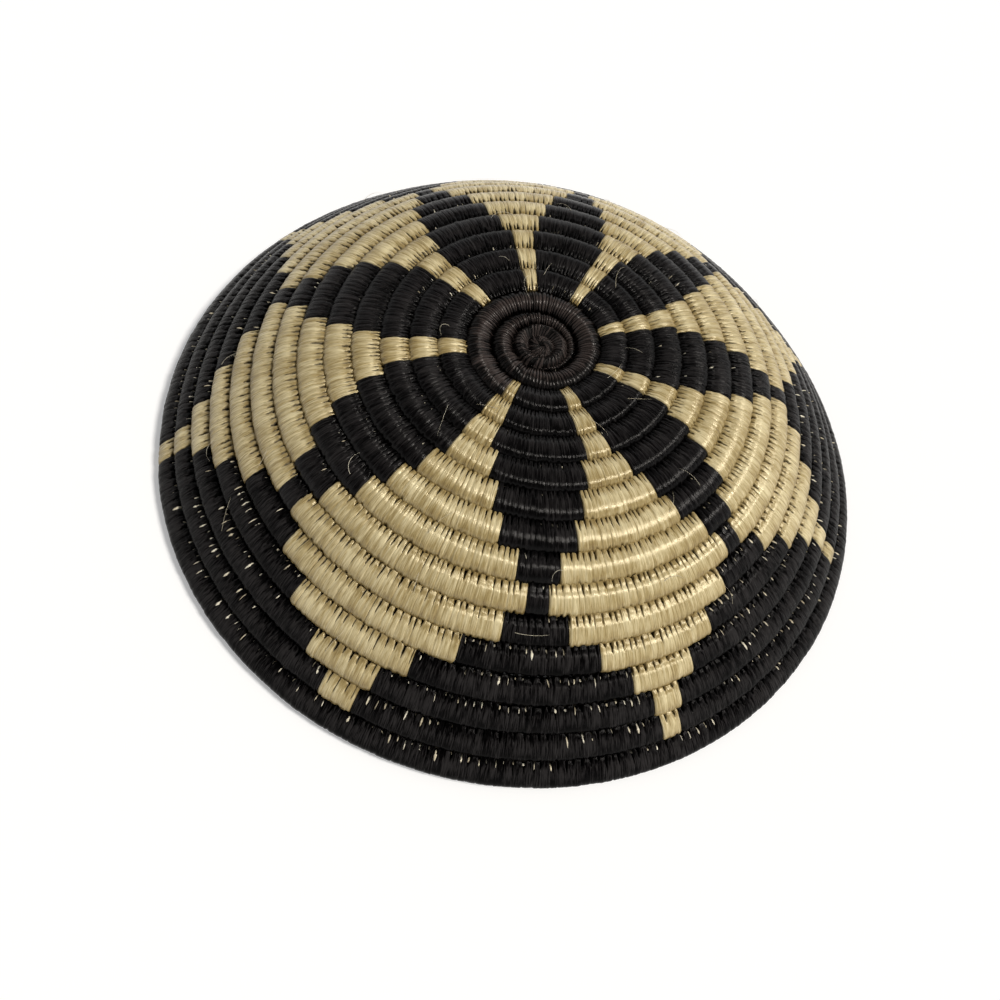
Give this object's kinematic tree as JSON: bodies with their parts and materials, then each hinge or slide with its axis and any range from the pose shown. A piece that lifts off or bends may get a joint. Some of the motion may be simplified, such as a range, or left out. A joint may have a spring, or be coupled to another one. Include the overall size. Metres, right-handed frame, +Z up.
{
  "type": "coiled basket",
  "caption": "Shallow round coiled basket in cream and black stitching with a ring of kite-shaped rays around a dark hub.",
  "frame": {"origin": "centre of the flat foot of the rim, on the surface that the basket lies on", "axes": "+Z up along the basket's axis, from the rim to the base; the coil ends between -X and -Y"},
  "size_m": [0.2506, 0.2506, 0.0588],
  "materials": {
    "black_strands": "satin",
    "cream_strands": "satin",
    "bundle": "matte"
  },
  "bodies": {
    "root": {"hub_wrap": "black_strands", "kite_wrap_1": "cream_strands", "kite_wrap_2": "cream_strands", "kite_wrap_3": "cream_strands", "kite_wrap_4": "cream_strands", "kite_wrap_5": "cream_strands", "kite_wrap_6": "cream_strands", "kite_wrap_7": "cream_strands", "kite_wrap_8": "cream_strands", "petal_wrap_1": "black_strands", "petal_wrap_2": "black_strands", "petal_wrap_3": "black_strands", "petal_wrap_4": "black_strands", "petal_wrap_5": "black_strands", "petal_wrap_6": "black_strands", "petal_wrap_7": "black_strands", "petal_wrap_8": "black_strands", "border_wrap_1": "black_strands", "border_wrap_2": "black_strands", "border_wrap_3": "black_strands", "border_wrap_4": "black_strands", "border_wrap_5": "black_strands", "border_wrap_6": "black_strands", "border_wrap_7": "black_strands", "border_wrap_8": "black_strands", "rim_wrap": "black_strands", "foundation_coil": "bundle"}
  },
  "joints": []
}
